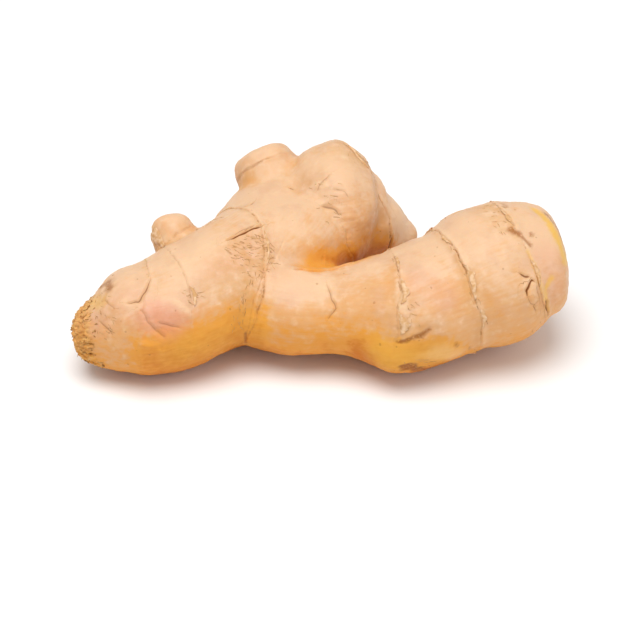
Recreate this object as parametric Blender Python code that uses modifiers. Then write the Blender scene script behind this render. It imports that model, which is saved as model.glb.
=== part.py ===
"""A fresh ginger root: one branched rhizome lying on a surface, as one solid.

The mother finger runs from its torn end, bends back and ends in a blunt face with a bud on it.
A second, thicker finger grows out of its side. Two stem stubs stand up behind. Every finger is a
loft along its own curved axis. The fingers are fused into one skin, growth rings and buds are
raised on it by formula, and its three low points are worn flat where it rests.
Metres, +Z up, front at -Y. The origin is the middle of the outline, on the surface below.
"""

import math

import bmesh
import bpy
import numpy as np
from mathutils import Vector, noise
from mathutils.kdtree import KDTree

MM = 0.001

# Middle of the root's outline in the stations' coordinates, in mm: the origin goes there.
PLAN_CENTRE = (0.3, 7.0)

# Each finger: stations along its axis as (x, y, z, radius) in mm, from its root outward.
# The fork flesh fills the fork between the mother finger's bend and the front finger.
MOTHER_FINGER = (
    (-68.7, -20.8, 11.5, 7.8),
    (-65.9, -21.0, 11.9, 10.0),
    (-61.5, -21.0, 12.6, 11.9),
    (-54.3, -20.0, 14.4, 15.7),
    (-44.4, -17.2, 15.3, 17.5),
    (-34.5, -11.6, 17.7, 18.1),
    (-25.5, -4.9, 18.5, 18.3),
    (-17.2, 6.0, 18.2, 18.0),
    (-9.6, 23.0, 17.3, 18.1),
    (-5.6, 26.4, 18.6, 17.4),
    (-1.5, 27.4, 19.5, 16.6),
    (3.0, 28.2, 21.3, 20.1),
    (7.6, 28.8, 22.0, 20.9),
    (11.6, 29.4, 22.0, 17.3),
    (15.2, 30.0, 21.4, 11.2),
    (17.2, 30.3, 21.3, 10.0),
)
FRONT_FINGER = (
    (-24.0, -8.5, 17.8, 15.6),
    (-18.0, -11.0, 17.0, 14.9),
    (-11.5, -13.6, 16.3, 14.0),
    (-4.3, -15.2, 15.6, 13.3),
    (2.9, -15.5, 15.4, 13.1),
    (10.0, -15.9, 15.7, 14.3),
    (17.2, -16.4, 16.1, 16.5),
    (22.9, -17.0, 16.5, 18.2),
    (30.1, -14.9, 18.1, 18.8),
    (37.3, -12.3, 19.7, 18.8),
    (46.0, -9.3, 22.2, 21.0),
    (53.2, -7.0, 23.8, 20.8),
    (58.0, -5.8, 24.7, 19.5),
    (61.6, -5.2, 25.3, 17.9),
    (63.8, -4.9, 25.5, 16.4),
)
FORK_FLESH = (
    (-24.0, -3.0, 18.5, 17.0),
    (-16.0, 3.0, 19.0, 17.0),
    (-9.0, 9.0, 19.5, 16.5),
    (-3.0, 15.8, 19.5, 15.6),
    (3.0, 19.2, 19.5, 15.0),
)
END_BUD = (
    (9.8, 27.8, 17.2, 13.8),
    (14.1, 28.4, 15.0, 12.7),
    (18.4, 29.4, 12.8, 10.5),
    (22.6, 30.0, 10.5, 7.2),
    (26.4, 30.2, 9.0, 4.7),
)
STEM_STUB = (
    (-8.8, 26.5, 20.5, 12.5),
    (-12.0, 31.3, 24.6, 11.2),
    (-15.1, 36.0, 28.6, 9.9),
    (-16.4, 38.3, 30.6, 9.6),
    (-17.2, 39.5, 31.8, 9.2),
)
SIDE_STUB = (
    (-38.0, -1.0, 20.5, 10.5),
    (-39.9, 1.2, 23.6, 8.8),
    (-41.8, 3.6, 26.9, 7.2),
    (-43.2, 5.1, 28.8, 6.6),
    (-43.6, 6.2, 30.3, 6.1),
)

# Sections are wider across than they are high, as fingers pressed by the soil are.
ACROSS, UPRIGHT = 1.05, 0.95

# Rounding of each finger's two ends: length in mm, and how blunt (2 is an ellipse).
MOTHER_ENDS = ((1.4, 3.4), (2.4, 2.4))
FORK_ENDS = ((6.0, 2.0), (6.0, 2.0))
FRONT_ENDS = ((6.0, 2.0), (7.0, 2.2))
BUD_ENDS = ((3.0, 2.0), (3.0, 2.0))
STUB_ENDS = ((3.0, 2.0), (3.2, 2.4))

# Growth rings: place along the axis in mm, lean across and lean upright in mm, height in mm.
MOTHER_RINGS = (
    (3.5, 0.6, -0.5, 0.4),
    (20.7, -5.2, 1.5, 0.5),
    (29.0, -2.7, 4.6, 0.6),
    (51.1, -9.6, 7.1, 0.9),
    (105.5, 6.3, -2.1, 0.5),
)
FRONT_RINGS = (
    (9.0, 1.1, 0.7, 0.5),
    (28.4, 2.4, -0.9, 0.4),
    (49.9, -2.4, 0.3, 0.5),
    (64.8, 0.5, 2.8, 0.8),
    (85.9, 1.9, -1.6, 0.7),
)
STEM_RINGS = ((16.0, 0.3, 0.5, 0.3),)
SIDE_RINGS = ((9.5, 0.2, 0.4, 0.3),)
RING_WIDTH = 1.3  # mm, half the width of a ring's ridge
RING_WANDER, WANDER_TURNS = 0.9, 2.1  # mm, how far a ring strays from a plane, and how often
RING_STRENGTH, RING_FADE, FADE_TURNS = 0.65, 0.7, 1.3  # a ring is strong here and faint there
PINCH_DEPTH, PINCH_WIDTH = 0.55, 6.0  # mm, the waist at each ring

# Buds: (x, y, z) of the place on the skin, height and width, in mm.
BUDS = (
    (-44.6, -29.8, 25.7, 0.9, 5.5),
    (-47.4, -35.4, 17.7, 0.5, 3.5),
    (0.0, 16.2, 36.0, 0.6, 4.0),
    (3.0, 47.0, 27.0, 1.2, 6.0),
    (20.0, -34.5, 10.0, 1.6, 5.5),
    (34.0, 8.0, 26.0, 1.4, 6.0),
    (58.5, -25.8, 30.7, 0.7, 4.0),
)

LUMP_HEIGHT, LUMP_SIZE = 0.7, 17.0  # mm, the uneven swell of the whole skin

# Construction sizes, in mm.
STEP_ALONG = 1.5
SIDES_ROUND = 48
SKIN_VOXEL = 1.0
FILLET_PASSES = 8
MOST_TRIANGLES = 11000
NEAR_SHARE = 0.14  # how soon one finger's rings give way to the next one's, in radii

SKIN_COLOUR = (0.80, 0.56, 0.33, 1.0)
SKIN_ROUGHNESS = 0.48


def clear_scene():
    for obj in list(bpy.data.objects):
        bpy.data.objects.remove(obj)


def axis_of(stations):
    """Points and radii every half millimetre along a smooth curve through the stations."""
    rows = np.array(stations, float)
    rows[:, 0] -= PLAN_CENTRE[0]
    rows[:, 1] -= PLAN_CENTRE[1]
    chord = np.linalg.norm(np.diff(rows[:, :3], axis=0), axis=1)
    at = np.concatenate([[0.0], np.cumsum(chord)])
    slope = np.gradient(rows, at, axis=0)
    s = np.linspace(0.0, at[-1], int(at[-1] / 0.5) + 1)
    k = np.clip(np.searchsorted(at, s, side="right") - 1, 0, len(at) - 2)
    span = (at[k + 1] - at[k])[:, None]
    t = ((s - at[k]) / (at[k + 1] - at[k]))[:, None]
    value = (
        (1 + 2 * t) * (1 - t) ** 2 * rows[k]
        + t * (1 - t) ** 2 * span * slope[k]
        + t * t * (3 - 2 * t) * rows[k + 1]
        + t * t * (t - 1) * span * slope[k + 1]
    )
    return s, value[:, :3], value[:, 3]


def frames_of(points):
    """Unit vectors along, across and upright at each point of an axis."""
    along = np.gradient(points, axis=0)
    along /= np.linalg.norm(along, axis=1)[:, None]
    across = np.cross(along, (0.0, 0.0, 1.0))
    across /= np.linalg.norm(across, axis=1)[:, None]
    return along, across, np.cross(across, along)


class Finger:
    """One finger's axis, sections and rings."""

    def __init__(self, stations, ends, rings, seed):
        self.s, self.points, self.radii = axis_of(stations)
        self.ends = ends
        self.along, self.across, self.upright = frames_of(self.points)
        self.rings = rings
        self.seed = seed
        self.tree = KDTree(len(self.points))
        for i, point in enumerate(self.points):
            self.tree.insert(Vector(point), i)
        self.tree.balance()

    def place(self, point):
        """Place along the axis, angle round it, and distance from it in radii."""
        _, i, _ = self.tree.find(point)
        offset = np.array(point) - self.points[i]
        x = offset @ self.across[i]
        y = offset @ self.upright[i]
        share = math.hypot(x / ACROSS, y / UPRIGHT) / max(self.radii[i], 1.0)
        return self.s[i] + offset @ self.along[i], math.atan2(y, x), share

    def ring_height(self, s, angle):
        """Height in mm of the rings' ridges and waists at a place."""
        height = 0.0
        turn = Vector((math.cos(angle), math.sin(angle), 0.0))
        for number, (at, lean_x, lean_y, tall) in enumerate(self.rings):
            own = Vector((0.0, 0.0, self.seed + 5.3 * number))
            stray = RING_WANDER * noise.noise(WANDER_TURNS * turn + own)
            fade = RING_STRENGTH + RING_FADE * noise.noise(FADE_TURNS * turn - own)
            from_ring = s - at - lean_x * turn.x - lean_y * turn.y - stray
            height += fade * tall * math.exp(-((from_ring / RING_WIDTH) ** 2))
            height -= PINCH_DEPTH * math.exp(-((from_ring / PINCH_WIDTH) ** 2))
        return height


def add_loft(bm, finger):
    """Adds a closed loft of a finger's elliptical sections, with rounded ends."""
    last = len(finger.s) - 1
    stops = np.unique(np.linspace(0, last, int(finger.s[-1] / STEP_ALONG) + 2).astype(int))
    sections = [(finger.points[i], finger.radii[i], i) for i in stops]
    for end, side, (length, blunt) in ((0, -1.0, finger.ends[0]), (last, 1.0, finger.ends[1])):
        rounding = []
        for share in (0.3, 0.55, 0.75, 0.9, 0.98):
            middle = finger.points[end] + finger.along[end] * side * length * share
            radius = finger.radii[end] * (1 - share**blunt) ** (1 / blunt)
            rounding.append((middle, radius, end))
        sections = rounding[::-1] + sections if end == 0 else sections + rounding
    loops = []
    for middle, radius, i in sections:
        loop = []
        for k in range(SIDES_ROUND):
            angle = 2 * math.pi * k / SIDES_ROUND
            spot = middle + radius * (
                ACROSS * math.cos(angle) * finger.across[i]
                + UPRIGHT * math.sin(angle) * finger.upright[i]
            )
            loop.append(bm.verts.new(spot * MM))
        loops.append(loop)
    for near, far in zip(loops, loops[1:]):
        for k in range(SIDES_ROUND):
            after = (k + 1) % SIDES_ROUND
            bm.faces.new((near[k], near[after], far[after], far[k]))
    bm.faces.new(loops[0][::-1])
    bm.faces.new(loops[-1])


def applied(obj):
    """Replaces an object's mesh by what its modifiers make of it."""
    graph = bpy.context.evaluated_depsgraph_get()
    mesh = bpy.data.meshes.new_from_object(obj.evaluated_get(graph))
    obj.modifiers.clear()
    obj.data = mesh


def fused(fingers, root):
    """One skin round all the fingers, with the creases between them filleted."""
    bm = bmesh.new()
    for finger in fingers:
        add_loft(bm, finger)
    bmesh.ops.recalc_face_normals(bm, faces=bm.faces)
    bm.to_mesh(root.data)
    bm.free()
    remesh = root.modifiers.new("one skin", "REMESH")
    remesh.mode = "VOXEL"
    remesh.voxel_size = SKIN_VOXEL * MM
    fillet = root.modifiers.new("fillet", "SMOOTH")
    fillet.factor = 0.5
    fillet.iterations = FILLET_PASSES
    applied(root)


def relief_at(point, fingers):
    """Height in mm that the skin is raised at a point in mm."""
    places = [finger.place(point) for finger in fingers]
    nearness = [math.exp(-(((share - 1.0) / NEAR_SHARE) ** 2)) + 1e-9 for _, _, share in places]
    height = 0.0
    for finger, (s, angle, _), near in zip(fingers, places, nearness):
        height += finger.ring_height(s, angle) * near / sum(nearness)
    for x, y, z, tall, wide in BUDS:
        bud = Vector((x - PLAN_CENTRE[0], y - PLAN_CENTRE[1], z))
        height += tall * math.exp(-(((point - bud).length / wide) ** 2))
    return height + LUMP_HEIGHT * noise.fractal(point / LUMP_SIZE, 0.8, 2.2, 2)


def raise_relief(root, fingers):
    mesh = root.data
    heights = [relief_at(v.co / MM, fingers) for v in mesh.vertices]
    normals = [v.normal.copy() for v in mesh.vertices]
    for vertex, normal, height in zip(mesh.vertices, normals, heights):
        vertex.co += normal * height * MM


def thin_out(root):
    """Fewer triangles where the skin is plain, more where it turns."""
    triangulate = root.modifiers.new("triangles", "TRIANGULATE")
    triangulate.quad_method = "BEAUTY"
    applied(root)
    thinning = root.modifiers.new("thinning", "DECIMATE")
    thinning.ratio = MOST_TRIANGLES / len(root.data.polygons)
    applied(root)


def wear_rest_spots(root):
    """Cuts the low points flat at the surface that the root lies on."""
    bm = bmesh.new()
    bm.from_mesh(root.data)
    everything = bm.verts[:] + bm.edges[:] + bm.faces[:]
    cut = bmesh.ops.bisect_plane(
        bm, geom=everything, plane_co=(0, 0, 0), plane_no=(0, 0, -1), clear_outer=True
    )
    edges = [e for e in cut["geom_cut"] if isinstance(e, bmesh.types.BMEdge)]
    spots = bmesh.ops.holes_fill(bm, edges=edges, sides=0)
    bmesh.ops.triangulate(bm, faces=spots["faces"])
    bmesh.ops.recalc_face_normals(bm, faces=bm.faces)
    bm.to_mesh(root.data)
    bm.free()


def skin_material():
    material = bpy.data.materials.new("ginger_skin")
    material.use_nodes = True
    shader = material.node_tree.nodes["Principled BSDF"]
    shader.inputs["Base Color"].default_value = SKIN_COLOUR
    shader.inputs["Roughness"].default_value = SKIN_ROUGHNESS
    shader.inputs["Metallic"].default_value = 0.0
    return material


def main():
    clear_scene()
    fingers = (
        Finger(MOTHER_FINGER, MOTHER_ENDS, MOTHER_RINGS, seed=1.7),
        Finger(FRONT_FINGER, FRONT_ENDS, FRONT_RINGS, seed=11.3),
        Finger(END_BUD, BUD_ENDS, (), seed=17.5),
        Finger(STEM_STUB, STUB_ENDS, STEM_RINGS, seed=23.9),
        Finger(SIDE_STUB, STUB_ENDS, SIDE_RINGS, seed=31.1),
    )
    collection = bpy.data.collections.new("ginger root")
    bpy.context.scene.collection.children.link(collection)
    root = bpy.data.objects.new("ginger_root", bpy.data.meshes.new("ginger_root"))
    collection.objects.link(root)
    fork = Finger(FORK_FLESH, FORK_ENDS, (), seed=0.0)
    fused((*fingers, fork), root)
    raise_relief(root, fingers)
    thin_out(root)
    wear_rest_spots(root)
    root.data.materials.append(skin_material())
    root.data.shade_smooth()


main()
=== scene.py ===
import math
import random

import bmesh
import bpy
import numpy as np
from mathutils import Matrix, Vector, noise
from mathutils.bvhtree import BVHTree
from mathutils.kdtree import KDTree


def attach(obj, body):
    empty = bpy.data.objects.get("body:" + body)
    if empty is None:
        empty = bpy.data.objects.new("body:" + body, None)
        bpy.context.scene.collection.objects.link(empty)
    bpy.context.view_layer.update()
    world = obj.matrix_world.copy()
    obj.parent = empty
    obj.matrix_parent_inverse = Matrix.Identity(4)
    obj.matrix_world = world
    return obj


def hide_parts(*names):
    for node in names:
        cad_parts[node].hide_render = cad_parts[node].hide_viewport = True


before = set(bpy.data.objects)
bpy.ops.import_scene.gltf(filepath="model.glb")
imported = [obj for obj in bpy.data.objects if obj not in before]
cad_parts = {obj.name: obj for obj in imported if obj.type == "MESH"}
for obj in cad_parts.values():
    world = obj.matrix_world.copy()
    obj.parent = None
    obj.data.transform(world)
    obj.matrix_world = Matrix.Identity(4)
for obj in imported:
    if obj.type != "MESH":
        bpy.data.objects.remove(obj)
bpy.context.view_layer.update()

# The skin

# The rhizome's thin, corky skin over firm, moist flesh, grown in one piece round every finger.
# Rings show where scale leaves sat, and between them it is wrinkled, cracked and scarred.
# A finer copy of the solid, carved by formula along each finger, with a skin of many tints.

MM = 0.001

# Middle of the root's outline in the stations' coordinates, in mm: the origin goes there.
PLAN_CENTRE = (0.3, 7.0)

# Each finger: stations along its axis as (x, y, z, radius) in mm, from its root outward.
MOTHER_FINGER = (
    (-68.7, -20.8, 11.5, 7.8), (-65.9, -21.0, 11.9, 10.0), (-61.5, -21.0, 12.6, 11.9),
    (-54.3, -20.0, 14.4, 15.7), (-44.4, -17.2, 15.3, 17.5), (-34.5, -11.6, 17.7, 18.1),
    (-25.5, -4.9, 18.5, 18.3), (-17.2, 6.0, 18.2, 18.0), (-9.6, 23.0, 17.3, 18.1),
    (-5.6, 26.4, 18.6, 17.4), (-1.5, 27.4, 19.5, 16.6), (3.0, 28.2, 21.3, 20.1),
    (7.6, 28.8, 22.0, 20.9), (11.6, 29.4, 22.0, 17.3), (15.2, 30.0, 21.4, 11.2),
    (17.2, 30.3, 21.3, 10.0),
)
FRONT_FINGER = (
    (-24.0, -8.5, 17.8, 15.6), (-18.0, -11.0, 17.0, 14.9), (-11.5, -13.6, 16.3, 14.0),
    (-4.3, -15.2, 15.6, 13.3), (2.9, -15.5, 15.4, 13.1), (10.0, -15.9, 15.7, 14.3),
    (17.2, -16.4, 16.1, 16.5), (22.9, -17.0, 16.5, 18.2), (30.1, -14.9, 18.1, 18.8),
    (37.3, -12.3, 19.7, 18.8), (46.0, -9.3, 22.2, 21.0), (53.2, -7.0, 23.8, 20.8),
    (58.0, -5.8, 24.7, 19.5), (61.6, -5.2, 25.3, 17.9), (63.8, -4.9, 25.5, 16.4),
)
END_BUD = (
    (9.8, 27.8, 17.2, 13.8), (14.1, 28.4, 15.0, 12.7), (18.4, 29.4, 12.8, 10.5),
    (22.6, 30.0, 10.5, 7.2), (26.4, 30.2, 9.0, 4.7),
)
STEM_STUB = (
    (-8.8, 26.5, 20.5, 12.5), (-12.0, 31.3, 24.6, 11.2), (-15.1, 36.0, 28.6, 9.9),
    (-16.4, 38.3, 30.6, 9.6), (-17.2, 39.5, 31.8, 9.2),
)
SIDE_STUB = (
    (-38.0, -1.0, 20.5, 10.5), (-39.9, 1.2, 23.6, 8.8), (-41.8, 3.6, 26.9, 7.2),
    (-43.2, 5.1, 28.8, 6.6), (-43.6, 6.2, 30.3, 6.1),
)
ACROSS, UPRIGHT = 1.05, 0.95  # sections are wider across than they are high

# Growth rings: place along the axis in mm, lean across and lean upright in mm, height in mm,
# how dark the ring's line shows, and the degrees round the finger where it has worn away.
MOTHER_RINGS = (
    (3.5, 0.6, -0.5, 0.4, 0.2, (-90, 90)), (20.7, -5.2, 1.5, 0.5, 0.5, (-100, 50)),
    (29.0, -2.7, 4.6, 0.6, 0.5, (-110, 30)), (51.1, -9.6, 7.1, 0.9, 0.7, (-150, -60)),
    (105.5, 6.3, -2.1, 0.5, 0.9, (-150, -70)),
)
FRONT_RINGS = (
    (9.0, 1.1, 0.7, 0.5, 0.4, (-170, -60)), (28.4, 2.4, -0.9, 0.4, 0.15, (-70, 130)),
    (49.9, -2.4, 0.3, 0.5, 0.45, (-30, 10)), (64.8, 0.5, 2.8, 0.8, 0.85, (-80, -20)),
    (85.9, 1.9, -1.6, 0.7, 0.6, (-90, -30)),
)
STEM_RINGS = ((16.0, 0.3, 0.5, 0.3, 0.3, (-60, 60)),)
SIDE_RINGS = ((9.5, 0.2, 0.4, 0.3, 0.3, (-60, 60)),)
WORN = 0.85  # how much of a ring has worn away there
RING_WANDER, WANDER_TURNS = 0.9, 2.1  # mm, how far a ring strays from a plane, and how often
RING_STRENGTH, RING_FADE, FADE_TURNS = 0.65, 0.7, 1.3  # a ring is strong here and faint there
RAGGED, RAGGED_TURNS = 0.28, 7.0  # mm, the small raggedness of a ring's edge
OWN_SKIN = (1.16, 1.36)  # radii from an axis within which the skin is that finger's own


class Finger:
    """A finger's axis, and where each spot on the skin lies along and round it."""

    def __init__(self, stations, rings, seed):
        rows = np.array(stations, float)
        rows[:, :2] -= PLAN_CENTRE
        chord = np.linalg.norm(np.diff(rows[:, :3], axis=0), axis=1)
        at = np.concatenate([[0.0], np.cumsum(chord)])
        slope = np.gradient(rows, at, axis=0)
        self.s = np.linspace(0.0, at[-1], int(at[-1] / 0.5) + 1)
        k = np.clip(np.searchsorted(at, self.s, side="right") - 1, 0, len(at) - 2)
        span = (at[k + 1] - at[k])[:, None]
        t = (self.s - at[k])[:, None] / span
        value = (
            (1 + 2 * t) * (1 - t) ** 2 * rows[k]
            + t * (1 - t) ** 2 * span * slope[k]
            + t * t * (3 - 2 * t) * rows[k + 1]
            + t * t * (t - 1) * span * slope[k + 1]
        )
        self.points, self.radii = value[:, :3], value[:, 3]
        self.along = np.gradient(self.points, axis=0)
        self.along /= np.linalg.norm(self.along, axis=1)[:, None]
        self.across = np.cross(self.along, (0.0, 0.0, 1.0))
        self.across /= np.linalg.norm(self.across, axis=1)[:, None]
        self.upright = np.cross(self.across, self.along)
        self.rings = rings
        self.seed = seed

    def read(self, spots):
        """Notes each spot's place along the finger, angle, distance in radii, and radius."""
        last = len(self.s) - 1
        nearest = np.concatenate([
            ((block[:, None] - self.points) ** 2).sum(axis=2).argmin(axis=1)
            for block in np.array_split(spots, len(spots) // 3000 + 1)
        ])
        ahead = ((spots - self.points[nearest]) * self.along[nearest]).sum(axis=1)
        low = np.clip(nearest - (ahead < 0), 0, last - 1)
        to_low = ((spots - self.points[low]) * self.along[low]).sum(axis=1)
        to_high = ((spots - self.points[low + 1]) * self.along[low + 1]).sum(axis=1)
        t = np.clip(to_low / np.maximum(to_low - to_high, 1e-6), 0.0, 1.0)
        beyond = np.where(nearest == 0, np.minimum(to_low, 0.0), 0.0)
        beyond += np.where(nearest == last, np.maximum(to_high, 0.0), 0.0)

        def between(table):
            return table[low] + (table[low + 1] - table[low]) * t[:, None]

        offset = spots - between(self.points)
        x = (offset * between(self.across)).sum(axis=1)
        y = (offset * between(self.upright)).sum(axis=1)
        self.radius = self.radii[low] + (self.radii[low + 1] - self.radii[low]) * t
        self.place = self.s[low] + (self.s[1] - self.s[0]) * t + beyond
        self.angle = np.arctan2(y, x)
        self.share = np.hypot(x / ACROSS, y / UPRIGHT) / self.radius
        self.own = rising(OWN_SKIN[1], OWN_SKIN[0], self.share)

    def ring_at(self, number, angles):
        """Place along the axis of a ring's line, and the ring's strength, at some angles."""
        at, lean_x, lean_y, _, _, (worn_from, worn_to) = self.rings[number]
        own = self.seed + 5.3 * number
        places, strengths = [], []
        for angle in angles:
            x, y = math.cos(angle), math.sin(angle)
            stray = RING_WANDER * noise.noise((WANDER_TURNS * x, WANDER_TURNS * y, own))
            stray += RAGGED * noise.noise((RAGGED_TURNS * x, RAGGED_TURNS * y, own + 2.6))
            fade = RING_FADE * noise.noise((FADE_TURNS * x, FADE_TURNS * y, -own))
            degrees = math.degrees(angle)
            worn = rising(worn_from - 12, worn_from + 12, degrees)
            worn *= rising(worn_to + 12, worn_to - 12, degrees)
            places.append(at + lean_x * x + lean_y * y + stray)
            strengths.append(min(max(RING_STRENGTH + fade, 0.2), 1.1) * (1 - WORN * worn))
        return np.array(places), np.array(strengths)


def rising(low, high, value):
    """0 at low, 1 at high, smooth between; low may be the greater."""
    t = np.clip((value - low) / (high - low), 0.0, 1.0)
    return t * t * (3 - 2 * t)


def rough(spots, size, seed, stretch=(1.0, 1.0, 1.0)):
    """Smooth noise from -1 to 1 at each spot, with features of a size in mm."""
    scaled = spots / (np.array(stretch) * size) + (seed, -seed, 0.37 * seed)
    return np.array([noise.noise(row) for row in scaled])


mother = Finger(MOTHER_FINGER, MOTHER_RINGS, 1.7)
front = Finger(FRONT_FINGER, FRONT_RINGS, 11.3)
bud = Finger(END_BUD, (), 17.5)
stem = Finger(STEM_STUB, STEM_RINGS, 23.9)
side = Finger(SIDE_STUB, SIDE_RINGS, 31.1)
fingers = (mother, front, bud, stem, side)


def settle(obj):
    """Replaces an object's mesh by what its modifiers make of it."""
    graph = bpy.context.evaluated_depsgraph_get()
    mesh = bpy.data.meshes.new_from_object(obj.evaluated_get(graph))
    obj.modifiers.clear()
    obj.data = mesh


def spots_of(mesh):
    """The mesh's vertices in mm."""
    spots = np.empty(len(mesh.vertices) * 3)
    mesh.vertices.foreach_get("co", spots)
    return spots.reshape(-1, 3) / MM


FINE_MESH = 0.76  # mm between the finer skin's points
SOFTNESS, SOFTENINGS = 0.5, 11  # how strongly and how often its facets are eased

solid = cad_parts["ginger_root"].data
skin = bpy.data.objects.new("ginger_skin", solid.copy())
bpy.context.scene.collection.objects.link(skin)
fine = skin.modifiers.new("fine mesh", "REMESH")
fine.mode = "VOXEL"
fine.voxel_size = FINE_MESH * MM
soft = skin.modifiers.new("soften facets", "SMOOTH")
soft.factor = SOFTNESS
soft.iterations = SOFTENINGS
settle(skin)

# Cracks and creases: finger, half width and depth in mm, darkness, and the line drawn on the
# finger as (mm along, degrees round). A depth below zero is a raised welt.
CRACKS = (
    (mother, 0.10, 0.25, 0.5, ((8.6, 49), (9.9, 39), (10.8, 29))),
    (mother, 0.08, 0.20, 0.35, ((11.1, 77), (11.9, 68), (12.7, 60))),
    (mother, 0.16, 0.40, 0.75, ((21.6, 79), (19.7, 66), (17.5, 57), (15.8, 59))),
    (mother, 0.12, 0.40, 0.25, ((17.9, 47), (18.6, 35), (19.8, 26), (21.5, 18))),
    (mother, 0.12, 0.30, 0.25, ((21.1, 33), (23.2, 27), (25.3, 23))),
    (mother, 0.55, -0.35, 0.0, ((16.1, 14), (18.1, 11), (20.0, 6))),
    (mother, 0.34, 0.65, 1.0, ((45.7, 82), (48.2, 82), (50.8, 80), (53.7, 79), (55.9, 76))),
    (mother, 0.10, 0.25, 0.5, ((49.0, 86), (52.0, 84), (54.6, 82))),
    (mother, 0.14, 0.30, 0.7, ((62.2, 111), (64.0, 110), (65.8, 108))),
    (mother, 0.16, 0.30, 0.6, ((94.5, 39), (95.6, 35), (97.1, 28))),
    (mother, 0.10, 0.20, 0.35, ((97.0, 49), (98.6, 46), (99.5, 41))),
    (mother, 0.10, 0.15, 0.25, ((97.1, 18), (98.0, 4), (99.0, -12), (100.0, -24))),
    (mother, 0.12, 0.25, 0.4, ((94.4, 54), (95.1, 57), (95.7, 60), (96.7, 63))),
    (mother, 0.16, 0.30, 0.6, ((83.1, 81), (83.5, 79), (83.8, 76))),
    (bud, 0.20, 0.30, 0.8, ((8.6, 24), (9.4, 12), (10.0, 0))),
    (front, 0.50, 1.00, 0.0, (
        (16.5, 97), (21.2, 101), (24.3, 105), (27.0, 110), (29.6, 116), (34.0, 120),
    )),
    (front, 0.15, 0.35, 0.5, ((27.4, 74), (29.4, 51), (30.7, 40), (28.1, 28))),
    (front, 0.12, 0.25, 0.6, ((82.3, 6), (82.8, 2), (83.1, -2))),
    (front, 0.34, 0.70, 0.9, ((88.7, 1), (88.9, -7), (89.2, -17))),
    (front, 0.24, 0.35, 0.9, ((80.6, 33), (82.0, 30), (83.6, 28))),
    (front, 0.30, 0.40, 1.0, ((80.9, 15), (81.3, 20), (82.6, 23), (84.0, 25), (85.0, 23))),
    (front, 0.12, 0.25, 0.4, ((85.4, 18), (85.8, 10), (85.6, 3))),
    (front, 0.12, 0.25, 0.4, ((80.9, 15), (81.6, 9), (83.0, 6), (84.8, 7))),
    (mother, 0.14, 0.30, 0.6, ((58.0, 146), (61.5, 152), (64.0, 163))),
    (mother, 0.10, 0.25, 0.5, ((59.5, 160), (61.5, 168), (62.0, 178))),
    (mother, 0.16, 0.35, 0.7, ((16.0, 138), (18.5, 145), (22.0, 148))),
    (mother, 0.12, 0.25, 0.5, ((92.0, 150), (94.5, 158), (96.0, 170))),
    (mother, 0.10, 0.20, 0.5, ((99.0, 140), (100.5, 150), (100.0, 161))),
    (front, 0.16, 0.35, 0.7, ((40.0, 132), (42.5, 138), (46.0, 141))),
    (front, 0.12, 0.25, 0.5, ((56.0, 150), (57.5, 160), (60.0, 168))),
    (front, 0.20, 0.35, 0.8, ((74.0, 128), (76.5, 133), (79.5, 131))),
    (front, 0.12, 0.25, 0.6, ((71.0, 160), (73.0, 168), (73.5, 178))),
)

# Raised bumps: finger, mm along, degrees round, height and width in mm.
BUMPS = (
    (mother, 95.2, 57, 0.6, 1.4), (mother, 95.4, 45, 0.6, 1.8), (mother, 90.5, 60, 0.4, 1.8),
    (mother, 22.0, 43, 0.5, 4.0), (front, 83.0, 14, 0.6, 2.4), (front, 50.5, 30, 0.35, 2.6),
    (front, 52.5, 52, 0.35, 2.0), (front, 83.0, 70, 0.4, 3.0), (front, 12.0, 60, 0.3, 2.5),
    (mother, 8.0, 120, 0.4, 3.0), (front, 55.0, -14, 0.5, 3.2),
)

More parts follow.
